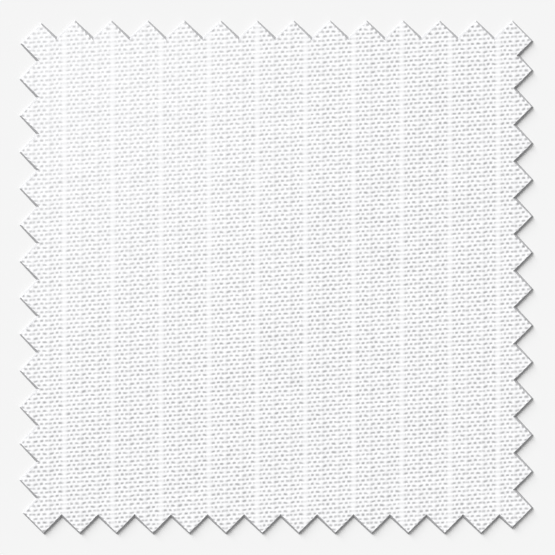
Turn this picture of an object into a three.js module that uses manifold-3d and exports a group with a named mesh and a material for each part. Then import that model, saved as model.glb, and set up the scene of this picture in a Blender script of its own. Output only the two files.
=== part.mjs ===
// Pinked fabric sample: a square of plain-woven vertical blind cloth with corded pinstripes.
// Pinking shears have cut its four sides in teeth. Millimetres, +Z up.
// The sample lies on its smooth back at z = 0, centred on the origin, with the warp and its
// pinstripes along Y and the picks of the weft nearly along X.

import * as THREE from 'three';
import { mergeVertices } from 'three/addons/utils/BufferGeometryUtils.js';
import Module from 'manifold-3d';

const wasm = await Module();
wasm.setup();

// Size of the sample, from tip to tip of the teeth
const sample_width = 100;
const sample_length = 100;

// Thickness of the cloth: the back up to the furrows between picks, the crown of a pick
// above its furrow, and the crown of a stripe cord above the crowns of the picks
const ground_thickness = 0.34;
const pick_rise = 0.12;
const cord_rise = 0.03;

// Weave: the picks lie side by side, at a small skew to the warp, and the first furrow
// lies a little above the middle of the sample
const pick_pitch = 0.84;
const pick_skew = THREE.MathUtils.degToRad(3.72);
const furrow_offset = 0.31;

// Pinstripes: one thick warp cord in each repeat of the warp, the first at its own
// distance from the left side
const stripe_pitch = 9.445;
const first_stripe = 8.49;
const cord_width = 1.1;
const cord_dome_steps = 6;

// Teeth of the pinking shears
const tooth_pitch = 7.15;
const tooth_angle = THREE.MathUtils.degToRad(90);
const tooth_depth = tooth_pitch / 2 / Math.tan(tooth_angle / 2);

// Where each stroke of the shears puts its first tip, measured along the side: the top and
// bottom sides run from the left, the left and right sides from the top. The right side
// begins with a short stroke out of step with the long one, which takes over where the
// flanks of the two meet in a shallow notch.
const top_first_tip = 3.41;
const bottom_first_tip = 4.38;
const left_first_tip = 3.99;
const right_first_tip = 2.26;
const right_short_tip = 3.62;
const right_short_end = (right_short_tip + right_first_tip + tooth_pitch) / 2;

// Each corner is snipped straight across: the length of side that the snip takes off
const top_left_snip = 4.36;
const top_right_snip = 3.66;
const bottom_left_snip = 4.4;
const bottom_right_snip = 4.8;

// Uncut cloth, and every cut, reaches past the sample on all sides
const blank_side = Math.hypot(sample_width, sample_length);
const overrun = blank_side / 2;
const cloth_thickness = ground_thickness + pick_rise + cord_rise;

// A closed geometry as a solid that can be joined and cut
function solid(geometry) {
  geometry.deleteAttribute('normal');
  geometry.deleteAttribute('uv');
  const merged = mergeVertices(geometry);
  return new wasm.Manifold(new wasm.Mesh({
    numProp: 3,
    vertProperties: new Float32Array(merged.attributes.position.array),
    triVerts: new Uint32Array(merged.index.array),
  }));
}

// A solid as a flat-shaded geometry
function geometryOf(manifold) {
  const mesh = manifold.getMesh();
  const geometry = new THREE.BufferGeometry();
  geometry.setAttribute('position', new THREE.BufferAttribute(mesh.vertProperties, 3));
  geometry.setIndex(new THREE.BufferAttribute(mesh.triVerts, 1));
  const flat = geometry.toNonIndexed();
  flat.computeVertexNormals();
  return flat;
}

// The cloth's ground: a flat back, and one ridge on the face for each pick
function wovenGround() {
  const crown = ground_thickness + pick_rise;
  const rows = Math.ceil(blank_side / 2 / pick_pitch);
  const profile = new THREE.Shape();
  profile.moveTo(-rows * pick_pitch, 0);
  for (let row = -rows; row < rows; row += 1) {
    profile.lineTo(row * pick_pitch, ground_thickness);
    profile.lineTo((row + 0.5) * pick_pitch, crown);
  }
  profile.lineTo(rows * pick_pitch, ground_thickness);
  profile.lineTo(rows * pick_pitch, 0);

  const geometry = new THREE.ExtrudeGeometry(profile, { depth: blank_side, bevelEnabled: false });
  geometry.translate(0, 0, -blank_side / 2);
  // The profile's own axes become Y and Z, and its length runs along X
  geometry.applyMatrix4(new THREE.Matrix4().makeBasis(
    new THREE.Vector3(0, 1, 0),
    new THREE.Vector3(0, 0, 1),
    new THREE.Vector3(1, 0, 0),
  ));
  geometry.translate(0, furrow_offset, 0);
  geometry.rotateZ(pick_skew);
  return solid(geometry);
}

// One stripe cord: upright sides through the ridges, and a low round crown above them
function stripeCord(x) {
  const shoulder = ground_thickness + pick_rise;
  const section = new THREE.Shape();
  section.moveTo(cord_width / 2, ground_thickness / 2);
  for (let step = 0; step <= cord_dome_steps; step += 1) {
    const turn = Math.PI * step / cord_dome_steps;
    section.lineTo(Math.cos(turn) * cord_width / 2, shoulder + Math.sin(turn) * cord_rise);
  }
  section.lineTo(-cord_width / 2, ground_thickness / 2);

  const geometry = new THREE.ExtrudeGeometry(section, { depth: blank_side, bevelEnabled: false });
  geometry.rotateX(Math.PI / 2);
  geometry.translate(x, blank_side / 2, 0);
  return solid(geometry);
}

// All stripe cords, one in each repeat across the width
function stripeCords() {
  const cords = [];
  for (let x = first_stripe; x < sample_width; x += stripe_pitch) {
    cords.push(stripeCord(x - sample_width / 2));
  }
  return cords;
}

// The offcut inside an outline: a block of that outline, through the whole cloth
function offcut(outline) {
  const geometry = new THREE.ExtrudeGeometry(
    new THREE.Shape(outline),
    { depth: cloth_thickness * 3, bevelEnabled: false },
  );
  geometry.translate(0, 0, -cloth_thickness);
  return solid(geometry);
}

// A point of a side: so far along it from its start, and so far in from its line of tips
function pointOf(side, along, inward) {
  return side.corner.clone()
    .addScaledVector(side.along, along)
    .addScaledVector(side.inward, inward);
}

// One stroke of the shears: all that lies outside a line of teeth, from one place along a
// side to another
function stroke(side, from, to, first_tip) {
  const half_pitch = tooth_pitch / 2;
  const depthAt = (along) => {
    const turn = Math.abs((along - first_tip) / half_pitch) % 2;
    return tooth_depth * (turn < 1 ? turn : 2 - turn);
  };

  const outline = [
    pointOf(side, to, -overrun),
    pointOf(side, from, -overrun),
    pointOf(side, from, depthAt(from)),
  ];
  const first = Math.floor((from - first_tip) / half_pitch) + 1;
  const last = Math.ceil((to - first_tip) / half_pitch) - 1;
  for (let half = first; half <= last; half += 1) {
    outline.push(pointOf(side, first_tip + half * half_pitch, half % 2 === 0 ? 0 : tooth_depth));
  }
  outline.push(pointOf(side, to, depthAt(to)));
  return offcut(outline);
}

// One straight snip across the corner where a side starts
function snip(side, leg) {
  return offcut([
    pointOf(side, -overrun, -overrun),
    pointOf(side, leg + overrun, -overrun),
    pointOf(side, -overrun, leg + overrun),
  ]);
}

// All that is cut away: the strokes along the four sides, and the four corners
function offcuts() {
  const right = new THREE.Vector2(1, 0);
  const left = new THREE.Vector2(-1, 0);
  const up = new THREE.Vector2(0, 1);
  const down = new THREE.Vector2(0, -1);
  const top_left = new THREE.Vector2(-sample_width / 2, sample_length / 2);
  const top_right = new THREE.Vector2(sample_width / 2, sample_length / 2);
  const bottom_left = new THREE.Vector2(-sample_width / 2, -sample_length / 2);
  const bottom_right = new THREE.Vector2(sample_width / 2, -sample_length / 2);

  const top_side = { corner: top_left, along: right, inward: down };
  const bottom_side = { corner: bottom_left, along: right, inward: up };
  const left_side = { corner: top_left, along: down, inward: right };
  const right_side = { corner: top_right, along: down, inward: left };
  const right_side_upward = { corner: bottom_right, along: up, inward: left };

  return [
    stroke(top_side, -overrun, sample_width + overrun, top_first_tip),
    stroke(bottom_side, -overrun, sample_width + overrun, bottom_first_tip),
    stroke(left_side, -overrun, sample_length + overrun, left_first_tip),
    stroke(right_side, -overrun, right_short_end, right_short_tip),
    stroke(right_side, right_short_end, sample_length + overrun, right_first_tip),
    snip(top_side, top_left_snip),
    snip(right_side, top_right_snip),
    snip(bottom_side, bottom_left_snip),
    snip(right_side_upward, bottom_right_snip),
  ];
}

function fabricSample() {
  let cloth = wovenGround();
  for (const cord of stripeCords()) {
    cloth = cloth.add(cord);
  }
  for (const waste of offcuts()) {
    cloth = cloth.subtract(waste);
  }
  const woven_polyester = new THREE.MeshStandardMaterial({
    color: 0xf3f3f4,
    roughness: 0.85,
    metalness: 0,
  });
  const mesh = new THREE.Mesh(geometryOf(cloth), woven_polyester);
  mesh.name = 'fabric_sample';
  return mesh;
}

const sample = new THREE.Group();
sample.add(fabricSample());

export default sample;
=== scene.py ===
"""A pinked sample of white woven blind cloth with corded pinstripes, lying flat on a pale floor."""

import math

import bmesh
import bpy
import numpy as np
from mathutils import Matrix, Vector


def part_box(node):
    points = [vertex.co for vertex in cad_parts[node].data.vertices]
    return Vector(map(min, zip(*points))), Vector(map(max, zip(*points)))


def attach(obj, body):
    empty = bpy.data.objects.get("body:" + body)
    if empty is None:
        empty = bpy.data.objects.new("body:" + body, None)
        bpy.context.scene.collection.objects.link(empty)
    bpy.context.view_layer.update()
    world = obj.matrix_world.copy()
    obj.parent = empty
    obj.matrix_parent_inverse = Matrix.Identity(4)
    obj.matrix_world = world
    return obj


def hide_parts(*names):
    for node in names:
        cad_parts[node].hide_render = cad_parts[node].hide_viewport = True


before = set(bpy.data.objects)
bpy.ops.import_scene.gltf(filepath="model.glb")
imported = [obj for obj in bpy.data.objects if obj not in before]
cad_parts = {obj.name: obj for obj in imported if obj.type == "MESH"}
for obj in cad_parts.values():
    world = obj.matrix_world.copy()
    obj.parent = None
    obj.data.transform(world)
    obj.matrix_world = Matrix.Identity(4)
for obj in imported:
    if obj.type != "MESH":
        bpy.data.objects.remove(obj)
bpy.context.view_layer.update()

MM = 0.001
NODE = "fabric_sample"
low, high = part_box(NODE)

# The photograph's frame: square, looked at straight down, and a little off the sample's middle
PICTURE_SIDE = 555
MM_PER_PIXEL = 0.196
LENS_MM = 120
SENSOR_MM = 36
AIM_X = 0.235 * MM
AIM_Y = -0.04 * MM

# Weft: picks at a small skew to the warp, with furrow 0 a little above the sample's middle
PICK_PITCH = 0.84 * MM
PICK_SKEW = math.radians(3.72)
FURROW_OFFSET = 0.33 * MM
FURROW_STEP = PICK_PITCH / math.cos(PICK_SKEW)
FURROW_START = FURROW_OFFSET / math.cos(PICK_SKEW)
FURROW_SLOPE = math.tan(PICK_SKEW)

# Warp: each repeat starts at a stripe cord, and holds two thick ends among narrow ones.
# Ends are counted at their middles, so an end meets the next one half an end on
STRIPE_PITCH = 9.445 * MM
FIRST_STRIPE = low.x + 8.49 * MM
END_CENTRES = [
    centre * MM
    for centre in (0, 0.84, 1.37, 1.82, 2.43, 3.10, 3.81, 4.41, 4.95, 5.55, 6.27, 6.98, 7.55, 8.00, 8.56)
]
ENDS_IN_REPEAT = len(END_CENTRES)
HALF_END = 0.5
THICK_EVERY = 5
THICK_HALF = 0.43 * MM
CORD_HALF = 0.60 * MM

# Relief of the face, over the flat back: the height of a crown, how far yarns and furrows
# rise or drop from it, and how much that varies. A stripe cord runs on flat
CROWN = 0.46 * MM
CORD_DROP = 0.035 * MM
OVER_RISE = 0.015 * MM
UNDER_DROP = 0.01 * MM
BETWEEN_DROP = 0.015 * MM
BRIDGE_DROP = 0.05 * MM
PIT_DEPTH = 0.12 * MM
THICK_PIT_DEPTH = 0.08 * MM
DEPTH_SPREAD = 0.2
CROWN_SPREAD = 0.005 * MM

# A thick end or a cord has two columns of points inside it, this share of its half width
# off its middle. Before it is cut, the cloth has spare furrows above and below
INNER_COLUMN = 0.5
SPARE_FURROWS = 2

# How far the yarns stray from straight lines, and over how many points that comes and goes
DRIFT = 0.01 * MM
PICK_DRIFT_REACH = 12
END_DRIFT_REACH = 10
SEED = 7

# The rim: the shears leave a low upright cut and a slope up to the face, so the foot of the
# cut lies a little outside the face's edge, less so at the worn points of the teeth. The
# block that cuts the cloth rises a margin above it
RIM_HEIGHT = 0.03 * MM
RIM_FOOT_OUT = 0.50 * MM
RIM_TOP_OUT = -0.11 * MM
TIP_SHARE = 0.6
BLOCK_MARGIN = 0.02 * MM

# Limits: how near two points count as one, how far above the flat back its own points may
# lie, the least turn of the outline that is a corner, and the least fold that looks sharp
SAME_POINT = 0.001 * MM
BACK_MARGIN = 0.01 * MM
LEAST_CORNER = math.radians(5)
SHARP_ANGLE = math.radians(40)

# Finish: pale yarns of two shades, painted shade in the gaps between them, and painted shade
# on the cut ends at the rim, where the surface leans more than it does anywhere in the weave.
# The limits of that lean are the upright part of the surface's normal
YARN_COLOUR = (0.989, 0.990, 1.0)
YARN_SHADE = (0.969, 0.971, 0.984)
YARN_ROUGHNESS = (0.78, 0.92)
# Painted shade: the dark grey of the gaps between yarns
GAP_SHADE_COLOUR = (0.18, 0.18, 0.19)
# Painted shade: the dark grey along the cut edge at the rim
RIM_SHADE_COLOUR = (0.42, 0.42, 0.43)
RIM_LEAN_START = 0.88
RIM_LEAN_END = 0.83
RIM_GRAIN = 4000
RIM_SHADE_LEAST_SHARE = 0.85
RIM_NOISE_LOW = 0.3
RIM_NOISE_HIGH = 0.7

# Fibres: fine streaks along whichever yarn lies on top
FIBRE_GRAIN = 22000
FIBRE_STRETCH = 0.08
FIBRE_DEPTH = 0.006 * MM
FIBRE_STRENGTH = 0.35

# How dark the painted shade in the gaps is at a narrow end, at the sides and middle of a
# thick end and of a stripe cord, and in a furrow between two gaps, and how much that varies
GAP_TONE = 0.53
THICK_SIDE_TONE = 0.42
THICK_MIDDLE_TONE = 0.20
CORD_SIDE_TONE = 0.36
CORD_MIDDLE_TONE = 0.13
BRIDGE_TONE = 0.09
CORD_BRIDGE_TONE = 0.07
TONE_SPREAD = 0.13
BRIDGE_SPREAD = 0.3

# Where the gaps fade out, counted in ends from the middle of the end that opens them, and
# how much wider they are beside a thick end
GAP_REACH = 0.78
GAP_CORE = 0.22
BESIDE_THICK_WIDTH = 1.25
THICK_REACH = 1.00
THICK_CORE = 0.66
THICK_SIDE_START = 0.0
THICK_SIDE_END = 0.30
CORD_REACH = 1.05
CORD_CORE = 0.75
CORD_SIDE_START = 0.25
CORD_SIDE_END = 0.50
CORD_BORDER = 0.15 * MM

# Where the gaps fade out, counted in furrows from the middle of their furrow, and how far
# their edges wander
FURROW_REACH_LOW = 0.40
FURROW_REACH_HIGH = 0.48
FURROW_CORE = 0.05
WOBBLE_SCALE = 1000
WOBBLE_ACROSS = 0.13
WOBBLE_ALONG = 0.08
WOBBLE_NOISE_LOW = 0.2
WOBBLE_NOISE_HIGH = 0.8

# How far the gaps dip towards a thick end, in furrows, and where that fades out, counted
# from the middle of the thick end as a share of the space between two of them
THICK_DIP = 0.09
DIP_START = 0.10
DIP_END = 0.32

# The painted gap shade is faintest at the upper left corner: how faint it is there, and how
# far from the corner it starts and ends to darken
CORNER_SHADE_SHARE = 0.65
CORNER_FADE_START = 5 * MM
CORNER_FADE_END = 90 * MM

# Noise: its detail, how far off a second noise is taken so that it isn't like the first, and
# the layer in which a second set of random numbers lies. A whole number under the limit is 0
NOISE_DETAIL = 2.0
FAR_OFF = (31.0, 17.0, 5.0)
SECOND_LAYER = 0.5
ZERO_LIMIT = 0.5

# A Mix node's sockets for colours come after those for numbers
MIX_SHARE = 0
MIX_FIRST_COLOUR = 6
MIX_SECOND_COLOUR = 7
MIX_COLOUR = 2

# Light: a soft key from the upper left, and a plain fill from all round
KEY_ELEVATION = math.radians(24.5)
KEY_TURN = math.radians(38.5)
KEY_SPREAD = math.radians(36)
KEY_LEVEL = 0.655
FILL_LEVEL = 0.355

# The floor: its half side in metres, how far it lies under the sample, and two tones that
# run softly into each other
FLOOR_HALF_SIDE = 3.0
FLOOR_GAP = 0.01 * MM
GROUND_TONE = 0.908
GROUND_SHADE = 0.900
GROUND_GRAIN = 30


def add_camera():
    """The camera looks straight down, through a long lens."""
    data = bpy.data.cameras.new("camera")
    data.lens = LENS_MM
    data.sensor_width = SENSOR_MM
    camera = bpy.data.objects.new("camera", data)
    bpy.context.scene.collection.objects.link(camera)
    picture_width = PICTURE_SIDE * MM_PER_PIXEL * MM
    camera.location = (AIM_X, AIM_Y, CROWN + picture_width * LENS_MM / SENSOR_MM)
    bpy.context.scene.camera = camera


def new_object(name, mesh):
    """An object of that mesh, in the scene."""
    made = bpy.data.objects.new(name, mesh)
    bpy.context.scene.collection.objects.link(made)
    return made


def outline_of_node():
    """Corners of the toothed outline, in order, from the flat back of the CAD node."""
    bm = bmesh.new()
    bm.from_mesh(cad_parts[NODE].data)
    bmesh.ops.remove_doubles(bm, verts=bm.verts, dist=SAME_POINT)
    back_top = low.z + BACK_MARGIN
    rest = [face for face in bm.faces if any(vert.co.z > back_top for vert in face.verts)]
    bmesh.ops.delete(bm, geom=rest, context="FACES")
    edge = next(side for side in bm.edges if side.is_boundary)
    start, vert = edge.verts
    loop = [start.co.copy()]
    while vert is not start:
        loop.append(vert.co.copy())
        edge = next(side for side in vert.link_edges if side.is_boundary and side is not edge)
        vert = edge.other_vert(vert)
    bm.free()
    corners = []
    for here, back, ahead in zip(loop, loop[-1:] + loop[:-1], loop[1:] + loop[:1]):
        if (here - back).to_2d().angle((ahead - here).to_2d()) > LEAST_CORNER:
            corners.append((here.x, here.y))
    return corners


def outset(corners, width):
    """The same outline, with every side moved out by a width, and less at the points."""
    points = np.array(corners)
    ahead = np.roll(points, -1, axis=0) - points
    ahead /= np.linalg.norm(ahead, axis=1)[:, None]
    x, y = points.T
    turn = np.sign(np.dot(x, np.roll(y, -1)) - np.dot(y, np.roll(x, -1)))
    normal = np.stack([ahead[:, 1], -ahead[:, 0]], axis=1) * turn
    before = np.roll(normal, 1, axis=0)
    bend = (before[:, 0] * normal[:, 1] - before[:, 1] * normal[:, 0]) * turn
    share = np.where(bend > 0, TIP_SHARE, 1)
    meet = (normal + before) * (share / (1 + (normal * before).sum(axis=1)))[:, None]
    return points + width * meet


def cutting_block(corners):
    """A block of the toothed outline, whose sides lean in above the foot of the rim."""
    bm = bmesh.new()
    top = high.z + BLOCK_MARGIN
    foot_points = outset(corners, RIM_FOOT_OUT)
    floor = [bm.verts.new((x, y, low.z)) for x, y in foot_points]
    wall = [bm.verts.new((x, y, RIM_HEIGHT)) for x, y in foot_points]
    roof = [bm.verts.new((x, y, top)) for x, y in outset(corners, RIM_TOP_OUT)]
    bm.faces.new(floor)
    bm.faces.new(roof)
    for lower, upper in ((floor, wall), (wall, roof)):
        for i in range(len(corners)):
            j = (i + 1) % len(corners)
            bm.faces.new((lower[i], lower[j], upper[j], upper[i]))
    bmesh.ops.recalc_face_normals(bm, faces=bm.faces)
    bmesh.ops.triangulate(bm, faces=bm.faces)
    mesh = bpy.data.meshes.new("cutting_block")
    bm.to_mesh(mesh)
    bm.free()
    return new_object("cutting_block", mesh)


def half_width(end):
    """Half the width of a stripe cord or a thick end, or 0 for a narrow end."""
    if end % ENDS_IN_REPEAT == 0:
        return CORD_HALF
    if end % THICK_EVERY == 0:
        return THICK_HALF
    return 0


def centre_of(end):
    """Where the middle of an end lies across the sample."""
    repeat, place = divmod(end, ENDS_IN_REPEAT)
    return FIRST_STRIPE + repeat * STRIPE_PITCH + END_CENTRES[place]


def border_after(end):
    """Where an end meets the next one."""
    here, there = half_width(end), half_width(end + 1)
    if here:
        return centre_of(end) + here
    if there:
        return centre_of(end + 1) - there
    return (centre_of(end) + centre_of(end + 1)) / 2


def warp_columns():
    """Where the relief has a column of points: (x, end on its left, end on its right).

    A column inside an end has that end on both sides."""
    last_repeat = math.ceil((high.x - FIRST_STRIPE) / STRIPE_PITCH)
    columns = []
    for end in range(1 - ENDS_IN_REPEAT, last_repeat * ENDS_IN_REPEAT):
        columns.append((border_after(end - 1), end - 1, end))
        half = half_width(end)
        for offset in (-INNER_COLUMN, INNER_COLUMN) if half else (0,):
            columns.append((centre_of(end) + offset * half, end, end))
    return columns


def relief(columns, furrows):
    """Height of the face at each column, on each furrow and on each crown between two."""
    draws = np.random.default_rng(SEED)
    first_end = columns[0][1]
    last_end = columns[-1][2]
    index = np.array(furrows)
    heights = {}
    for end in range(first_end, last_end + 1):
        active = (end + index) % 2 == 0
        depth = 1 + DEPTH_SPREAD * draws.uniform(-1, 1, len(furrows))
        lift = CROWN_SPREAD * draws.uniform(-1, 1, len(furrows))
        heights[end] = np.full(2 * len(furrows), -CORD_DROP)
        if end % ENDS_IN_REPEAT:
            pit = PIT_DEPTH if end % THICK_EVERY else THICK_PIT_DEPTH
            heights[end][0::2] = -np.where(active, pit * depth, BRIDGE_DROP)
            heights[end][1::2] = np.where(active, OVER_RISE, -UNDER_DROP) + lift
    between = np.zeros(2 * len(furrows))
    between[1::2] = BETWEEN_DROP
    rows = [
        (heights[left] + heights[right]) / 2 - between * (left != right)
        for _, left, right in columns
    ]
    return CROWN + np.array(rows)


def smooth_noise(draws, rows, columns, reach):
    """Random values that change slowly along the first axis."""
    values = draws.standard_normal((rows + 2 * reach, columns))
    kernel = np.hanning(2 * reach + 1)
    kernel /= np.sqrt((kernel**2).sum())
    smoothed = [np.convolve(values[:, i], kernel, mode="valid") for i in range(columns)]
    return np.array(smoothed).T[:rows]


def row_line(step, x):
    """How far up a row of points lies at x: a furrow at whole steps, a crown between two."""
    return FURROW_START + step * FURROW_STEP + FURROW_SLOPE * x


def face_points(columns, steps):
    """Where the points of the face lie, as x and y: straight at the sides, and straying inside."""
    column_x = np.array([x for x, _, _ in columns])
    draws = np.random.default_rng(SEED + 1)
    drift_y = DRIFT * smooth_noise(draws, len(column_x), len(steps), PICK_DRIFT_REACH)
    drift_x = DRIFT * smooth_noise(draws, len(steps), len(column_x), END_DRIFT_REACH).T
    x = column_x[:, None] + drift_x
    y = row_line(steps[None, :], column_x[:, None]) + drift_y
    sides = [0, -1]
    x[sides] = column_x[sides, None]
    y[:, sides] = row_line(steps[sides], x[:, sides])
    return x, y


def cloth_blank():
    """A closed slab of cloth a little larger than the sample: woven relief over a flat back."""
    columns = warp_columns()
    reach = high.y + FURROW_SLOPE * high.x
    half_count = math.ceil(reach / FURROW_STEP) + SPARE_FURROWS
    furrows = list(range(-half_count, half_count))
    steps = furrows[0] + np.arange(2 * len(furrows)) / 2
    x, y = face_points(columns, steps)

    grid = np.arange(x.size).reshape(x.shape)
    quads = np.stack([grid[:-1, :-1], grid[1:, :-1], grid[1:, 1:], grid[:-1, 1:]], axis=-1)
    points = np.stack([x, y, relief(columns, furrows)], axis=-1).reshape(-1, 3)
    grid_corners = ((0, 0), (-1, 0), (-1, -1), (0, -1))
    base = [(x[corner], y[corner], low.z) for corner in grid_corners]
    near_left, near_right, far_right, far_left = range(x.size, x.size + len(base))
    faces = quads.reshape(-1, 4).tolist()
    faces.append([near_left, far_left, far_right, near_right])
    faces.append([near_left, near_right] + grid[::-1, 0].tolist())
    faces.append([near_right, far_right] + grid[-1, ::-1].tolist())
    faces.append([far_right, far_left] + grid[:, -1].tolist())
    faces.append([far_left, near_left] + grid[0, :].tolist())
    mesh = bpy.data.meshes.new("cloth_blank")
    mesh.from_pydata(points.tolist() + base, [], faces)
    return new_object("cloth_blank", mesh)


def smooth_triangles(mesh):
    """Splits a mesh into triangles without slivers, smooth but for the rim and steep folds."""
    bm = bmesh.new()
    bm.from_mesh(mesh)
    bmesh.ops.triangulate(bm, faces=bm.faces)
    bmesh.ops.dissolve_degenerate(bm, dist=SAME_POINT, edges=bm.edges)
    bmesh.ops.triangulate(bm, faces=bm.faces)
    bm.normal_update()
    for edge in bm.edges:
        level = {abs(face.normal.z) > RIM_LEAN_START for face in edge.link_faces}
        edge.smooth = len(level) == 1 and edge.calc_face_angle() < SHARP_ANGLE
    bm.to_mesh(mesh)
    bm.free()
    mesh.shade_smooth()


def woven_cloth(corners):
    """The sample: the blank inside the cutting block, as one closed mesh of triangles."""
    blank = cloth_blank()
    block = cutting_block(corners)
    cut = blank.modifiers.new("cut", "BOOLEAN")
    cut.operation = "INTERSECT"
    cut.solver = "MANIFOLD"
    cut.object = block
    shape = blank.evaluated_get(bpy.context.evaluated_depsgraph_get())
    mesh = bpy.data.meshes.new_from_object(shape)
    mesh.name = "woven_cloth"
    smooth_triangles(mesh)
    bpy.data.objects.remove(blank)
    bpy.data.objects.remove(block)
    return new_object("woven_cloth", mesh)


def opaque(colour):
    """A colour with full opacity."""
    return (*colour, 1)


def plain_material(name, colour, roughness):
    """A material with one colour and roughness, to build on."""
    material = bpy.data.materials.new(name)
    material.use_nodes = True
    shader = material.node_tree.nodes["Principled BSDF"]
    shader.inputs["Base Color"].default_value = opaque(colour)
    shader.inputs["Roughness"].default_value = roughness
    return material


class Sums:
    """Short calls for the arithmetic nodes of a material or the world."""

    def __init__(self, owner):
        self.nodes = owner.node_tree.nodes
        self.links = owner.node_tree.links

    def put(self, socket, value):
        """Gives an input a number, or a link from an output."""
        if isinstance(value, bpy.types.NodeSocket):
            self.links.new(value, socket)
        else:
            socket.default_value = value

    def math(self, operation, *values):
        """One arithmetic node."""
        node = self.nodes.new("ShaderNodeMath")
        node.operation = operation
        for socket, value in zip(node.inputs, values):
            self.put(socket, value)
        return node.outputs[0]

    def fade(self, value, start, end, low_value=0.0, high_value=1.0):
        """A smooth change from one value to another, between two limits."""
        node = self.nodes.new("ShaderNodeMapRange")
        node.interpolation_type = "SMOOTHSTEP"
        for name, setting in (
            ("Value", value),
            ("From Min", start),
            ("From Max", end),
            ("To Min", low_value),
            ("To Max", high_value),
        ):
            self.put(node.inputs[name], setting)
        return node.outputs[0]

    def mix(self, share, first, second):
        """A number between two others, by a share from 0 to 1."""
        node = self.nodes.new("ShaderNodeMix")
        for name, setting in (("Factor", share), ("A", first), ("B", second)):
            self.put(node.inputs[name], setting)
        return node.outputs[0]

    def blend(self, share, first, second):
        """A colour between two others, by a share from 0 to 1."""
        node = self.nodes.new("ShaderNodeMix")
        node.data_type = "RGBA"
        self.put(node.inputs[MIX_SHARE], share)
        self.put(node.inputs[MIX_FIRST_COLOUR], first)
        self.put(node.inputs[MIX_SECOND_COLOUR], second)
        return node.outputs[MIX_COLOUR]

    def vector(self, x, y, z=0.0):
        """A vector of three numbers."""
        node = self.nodes.new("ShaderNodeCombineXYZ")
        for socket, value in zip(node.inputs, (x, y, z)):
            self.put(socket, value)
        return node.outputs[0]

    def split(self, vector):
        """The three numbers of a vector."""
        node = self.nodes.new("ShaderNodeSeparateXYZ")
        self.put(node.inputs[0], vector)
        return tuple(node.outputs)

    def shifted(self, vector):
        """A vector moved far off, for a second noise that has nothing to do with the first."""
        node = self.nodes.new("ShaderNodeVectorMath")
        node.operation = "ADD"
        self.put(node.inputs[0], vector)
        self.put(node.inputs[1], FAR_OFF)
        return node.outputs[0]

    def chance(self, vector):
        """A random number from 0 to 1 for each place of a lattice."""
        node = self.nodes.new("ShaderNodeTexWhiteNoise")
        node.noise_dimensions = "3D"
        self.put(node.inputs["Vector"], vector)
        return node.outputs["Value"]

    def noise(self, vector, scale):
        """Soft noise from 0 to 1."""
        node = self.nodes.new("ShaderNodeTexNoise")
        self.put(node.inputs["Vector"], vector)
        node.inputs["Scale"].default_value = scale
        node.inputs["Detail"].default_value = NOISE_DETAIL
        return node.outputs["Fac"]


def off_whole(sums, number):
    """How far a number is from the nearest whole number."""
    return sums.math("ABSOLUTE", sums.math("SUBTRACT", number, sums.math("ROUND", number)))


def every(sums, number, count):
    """1 where a whole number is a multiple of count, and 0 elsewhere."""
    left = sums.math("FLOORED_MODULO", number, float(count))
    return sums.math("LESS_THAN", left, ZERO_LIMIT)


def varied(sums, chance, spread):
    """A factor between 1 - spread and 1 + spread, for a random number from 0 to 1."""
    return sums.fade(chance, 0.0, 1.0, 1 - spread, 1 + spread)


def wobble(sums, place, size):
    """Soft noise between minus a size and plus that size."""
    noise = sums.noise(place, WOBBLE_SCALE)
    return sums.fade(noise, WOBBLE_NOISE_LOW, WOBBLE_NOISE_HIGH, -size, size)


def end_count(sums, share_of_repeat):
    """How many ends lie before a place in a repeat, whole numbers being the middles of ends."""
    node = sums.nodes.new("ShaderNodeFloatCurve")
    curve = node.mapping.curves[0]
    for end in range(ENDS_IN_REPEAT):
        place = (border_after(end) - FIRST_STRIPE) / STRIPE_PITCH
        curve.points.new(place, (end + HALF_END) / ENDS_IN_REPEAT)
    for point in curve.points:
        point.handle_type = "VECTOR"
    node.mapping.update()
    sums.put(node.inputs["Value"], share_of_repeat)
    return sums.math("MULTIPLY", node.outputs[0], ENDS_IN_REPEAT)


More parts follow.
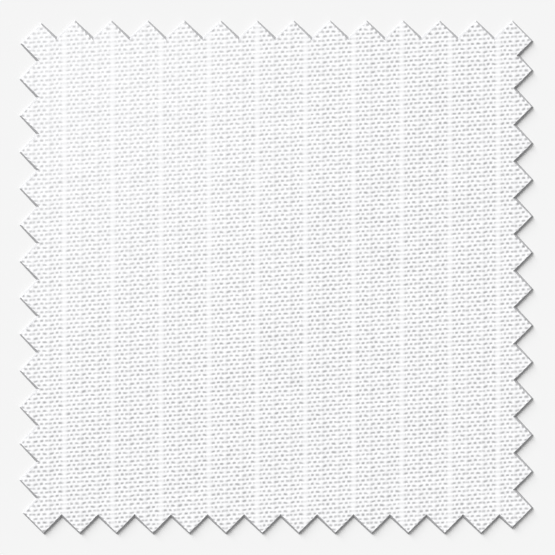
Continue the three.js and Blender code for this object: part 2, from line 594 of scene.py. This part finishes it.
def weave_lattice(sums):
    """Where a point of the cloth lies in the weave: end and furrow numbers, and how far off."""
    place = sums.nodes.new("ShaderNodeTexCoord").outputs["Object"]
    x, y, _ = sums.split(place)

    lean = sums.math("MULTIPLY", x, FURROW_SLOPE)
    above = sums.math("SUBTRACT", sums.math("SUBTRACT", y, lean), FURROW_START)
    rows = sums.math("DIVIDE", above, FURROW_STEP)
    furrow = sums.math("ROUND", rows)

    repeats = sums.math("DIVIDE", sums.math("SUBTRACT", x, FIRST_STRIPE), STRIPE_PITCH)
    before = sums.math("MULTIPLY", sums.math("FLOOR", repeats), ENDS_IN_REPEAT)
    ends = sums.math("ADD", before, end_count(sums, sums.math("FRACT", repeats)))
    odd_furrow = sums.math("FLOORED_MODULO", furrow, 2.0)
    pairs = sums.math("ROUND", sums.math("DIVIDE", sums.math("SUBTRACT", ends, odd_furrow), 2.0))
    open_end = sums.math("ADD", sums.math("MULTIPLY", pairs, 2.0), odd_furrow)

    off_end = sums.math("SUBTRACT", ends, open_end)
    across = sums.math("ADD", off_end, wobble(sums, place, WOBBLE_ACROSS))
    off_furrow = sums.math("SUBTRACT", rows, furrow)
    along = sums.math("ADD", off_furrow, wobble(sums, sums.shifted(place), WOBBLE_ALONG))

    before_thick = every(sums, sums.math("ADD", open_end, 1.0), THICK_EVERY)
    after_thick = every(sums, sums.math("SUBTRACT", open_end, 1.0), THICK_EVERY)
    beside_thick = sums.math("ADD", before_thick, after_thick)
    thick_away = off_whole(sums, sums.math("MULTIPLY", repeats, ENDS_IN_REPEAT / THICK_EVERY))
    dip_here = sums.fade(thick_away, DIP_START, DIP_END, THICK_DIP, 0.0)
    dip = sums.math("MULTIPLY", dip_here, beside_thick)
    return {
        "place": place,
        "x": x,
        "y": y,
        "end": sums.math("ROUND", ends),
        "pick": sums.math("FLOOR", rows),
        "open_end": open_end,
        "beside_thick": beside_thick,
        "away": sums.math("ABSOLUTE", across),
        "furrow": furrow,
        "along": sums.math("ABSOLUTE", sums.math("ADD", along, dip)),
        "cord_away": sums.math("MULTIPLY", off_whole(sums, repeats), STRIPE_PITCH),
    }


def gap_shade_by_end(sums, weave):
    """How dark the painted shade of a gap is across its furrow, by the end that opens it.

    A thick end shows a gap at both its sides, and so does a stripe cord, but faintly."""
    away = weave["away"]
    width = sums.mix(weave["beside_thick"], 1.0, BESIDE_THICK_WIDTH)
    narrow_away = sums.math("DIVIDE", away, width)
    narrow_tone = sums.math("MULTIPLY", sums.fade(narrow_away, GAP_REACH, GAP_CORE), GAP_TONE)

    thick_sides = sums.fade(away, THICK_SIDE_START, THICK_SIDE_END, THICK_MIDDLE_TONE, THICK_SIDE_TONE)
    thick_tone = sums.math("MULTIPLY", thick_sides, sums.fade(away, THICK_REACH, THICK_CORE))

    cord_sides = sums.fade(away, CORD_SIDE_START, CORD_SIDE_END, CORD_MIDDLE_TONE, CORD_SIDE_TONE)
    cord_tone = sums.math("MULTIPLY", cord_sides, sums.fade(away, CORD_REACH, CORD_CORE))

    thick = every(sums, weave["open_end"], THICK_EVERY)
    cord = every(sums, weave["open_end"], ENDS_IN_REPEAT)
    return sums.mix(cord, sums.mix(thick, narrow_tone, thick_tone), cord_tone)


def furrow_shade(sums, weave):
    """How dark the painted shade in a furrow is between two gaps: less so on a stripe cord, and varied
    by crossing.
    """
    off_cord = sums.fade(weave["cord_away"], CORD_HALF, CORD_HALF + CORD_BORDER)
    tone = sums.mix(off_cord, CORD_BRIDGE_TONE, BRIDGE_TONE)
    crossing = sums.chance(sums.vector(weave["end"], weave["furrow"], SECOND_LAYER))
    return sums.math("MULTIPLY", tone, varied(sums, crossing, BRIDGE_SPREAD))


def corner_fade(sums, weave):
    """How strong the painted gap shade is: faintest at one corner, growing away from it."""
    node = sums.nodes.new("ShaderNodeVectorMath")
    node.operation = "DISTANCE"
    sums.put(node.inputs[0], weave["place"])
    sums.put(node.inputs[1], (low.x, high.y, CROWN))
    return sums.fade(node.outputs["Value"], CORNER_FADE_START, CORNER_FADE_END, CORNER_SHADE_SHARE, 1.0)


def gap_shade(sums, weave):
    """How dark the painted shade is at the gaps between yarns, from 0 to 1.

    In each furrow the gaps open at every other end."""
    gap = sums.vector(weave["open_end"], weave["furrow"])
    spread = varied(sums, sums.chance(gap), TONE_SPREAD)
    tone = sums.math("MULTIPLY", gap_shade_by_end(sums, weave), spread)
    marked = sums.math("ADD", tone, furrow_shade(sums, weave))
    reach = sums.mix(sums.chance(sums.shifted(gap)), FURROW_REACH_LOW, FURROW_REACH_HIGH)
    furrow = sums.fade(weave["along"], reach, FURROW_CORE)
    return sums.math("MULTIPLY", sums.math("MULTIPLY", marked, furrow), corner_fade(sums, weave))


def rim_shade_share(sums, weave):
    """How much of the painted rim shade shows on the cut ends: almost all at the rim, and none
    elsewhere.
    """
    facing = sums.nodes.new("ShaderNodeNewGeometry").outputs["True Normal"]
    _, _, upward = sums.split(facing)
    rim = sums.fade(sums.math("ABSOLUTE", upward), RIM_LEAN_START, RIM_LEAN_END)
    noise = sums.noise(weave["place"], RIM_GRAIN)
    uneven = sums.fade(noise, RIM_NOISE_LOW, RIM_NOISE_HIGH, RIM_SHADE_LEAST_SHARE, 1.0)
    return sums.math("MULTIPLY", rim, uneven)


def yarn_detail(sums, weave):
    """Shade of the yarn on top, and the height of its fibres, both from 0 to 1."""
    over = every(sums, sums.math("ADD", weave["end"], weave["pick"]), 2)
    x, y = weave["x"], weave["y"]
    pick_fibres = sums.noise(sums.vector(sums.math("MULTIPLY", x, FIBRE_STRETCH), y), FIBRE_GRAIN)
    end_fibres = sums.noise(sums.vector(x, sums.math("MULTIPLY", y, FIBRE_STRETCH)), FIBRE_GRAIN)
    pick_shade = sums.chance(sums.vector(0.0, weave["pick"]))
    end_shade = sums.chance(sums.vector(weave["end"], SECOND_LAYER))
    shade = sums.mix(over, pick_shade, end_shade)
    fibres = sums.mix(over, pick_fibres, end_fibres)
    return shade, fibres


def cloth_material():
    """White woven polyester: pale yarns, with painted shade in the gaps between them and on the cut ends
    at the rim.
    """
    material = plain_material("woven_polyester", YARN_COLOUR, max(YARN_ROUGHNESS))
    sums = Sums(material)
    shader = sums.nodes["Principled BSDF"]
    weave = weave_lattice(sums)
    shade, fibres = yarn_detail(sums, weave)
    yarn = sums.blend(shade, opaque(YARN_COLOUR), opaque(YARN_SHADE))
    # Painted shade: the gaps between yarns are darkened towards a dark grey
    woven = sums.blend(gap_shade(sums, weave), yarn, opaque(GAP_SHADE_COLOUR))
    # Painted shade: the cut ends at the rim are darkened towards a dark grey
    colour = sums.blend(rim_shade_share(sums, weave), woven, opaque(RIM_SHADE_COLOUR))
    sums.links.new(colour, shader.inputs["Base Color"])
    sums.links.new(sums.mix(fibres, *YARN_ROUGHNESS), shader.inputs["Roughness"])

    bump = sums.nodes.new("ShaderNodeBump")
    bump.inputs["Strength"].default_value = FIBRE_STRENGTH
    bump.inputs["Distance"].default_value = FIBRE_DEPTH
    sums.links.new(fibres, bump.inputs["Height"])
    sums.links.new(bump.outputs[0], shader.inputs["Normal"])
    return material


def grey(tone):
    """A neutral colour of one tone."""
    return (tone, tone, tone)


def floor_material():
    """Matt pale paint, very slightly uneven in tone."""
    material = plain_material("pale_floor", grey(GROUND_TONE), 1.0)
    sums = Sums(material)
    shader = sums.nodes["Principled BSDF"]
    shader.inputs["Specular IOR Level"].default_value = 0
    place = sums.nodes.new("ShaderNodeTexCoord").outputs["Object"]
    noise = sums.noise(place, GROUND_GRAIN)
    colour = sums.blend(noise, opaque(grey(GROUND_SHADE)), opaque(grey(GROUND_TONE)))
    sums.links.new(colour, shader.inputs["Base Color"])
    return material


def add_floor():
    """A wide pale floor under the sample."""
    bm = bmesh.new()
    bmesh.ops.create_grid(bm, x_segments=1, y_segments=1, size=FLOOR_HALF_SIDE)
    mesh = bpy.data.meshes.new("floor")
    bm.to_mesh(mesh)
    bm.free()
    floor = new_object("floor", mesh)
    floor.location.z = low.z - FLOOR_GAP
    floor.data.materials.append(floor_material())


def add_key():
    """The soft key: with the fill, a level surface renders about as its colour is written."""
    data = bpy.data.lights.new("key", "SUN")
    data.energy = KEY_LEVEL * math.pi / math.sin(KEY_ELEVATION)
    data.angle = KEY_SPREAD
    key = bpy.data.objects.new("key", data)
    bpy.context.scene.collection.objects.link(key)
    key.rotation_euler = (KEY_ELEVATION - math.pi / 2, 0, KEY_TURN)


def add_fill():
    """The fill from all round, which is seen and mirrored as a backdrop in the floor's tone."""
    world = bpy.data.worlds.new("studio")
    world.use_nodes = True
    bpy.context.scene.world = world
    sums = Sums(world)
    fill = sums.nodes["Background"]
    fill.inputs["Color"].default_value = opaque(grey(1))
    fill.inputs["Strength"].default_value = FILL_LEVEL
    backdrop = sums.nodes.new("ShaderNodeBackground")
    backdrop.inputs["Color"].default_value = opaque(grey(GROUND_TONE))
    path = sums.nodes.new("ShaderNodeLightPath").outputs
    clear_rays = sums.math("MAXIMUM", path["Is Glossy Ray"], path["Is Transmission Ray"])
    seen = sums.math("MAXIMUM", path["Is Camera Ray"], clear_rays)
    mix = sums.nodes.new("ShaderNodeMixShader")
    sums.links.new(seen, mix.inputs[0])
    sums.links.new(fill.outputs[0], mix.inputs[1])
    sums.links.new(backdrop.outputs[0], mix.inputs[2])
    sums.links.new(mix.outputs[0], sums.nodes["World Output"].inputs["Surface"])


add_camera()
corners = outline_of_node()
cloth = woven_cloth(corners)
cloth.data.materials.clear()
cloth.data.materials.append(cloth_material())
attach(cloth, "root")
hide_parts(NODE)
add_floor()
add_key()
add_fill()

bpy.context.scene.view_settings.view_transform = "Standard"
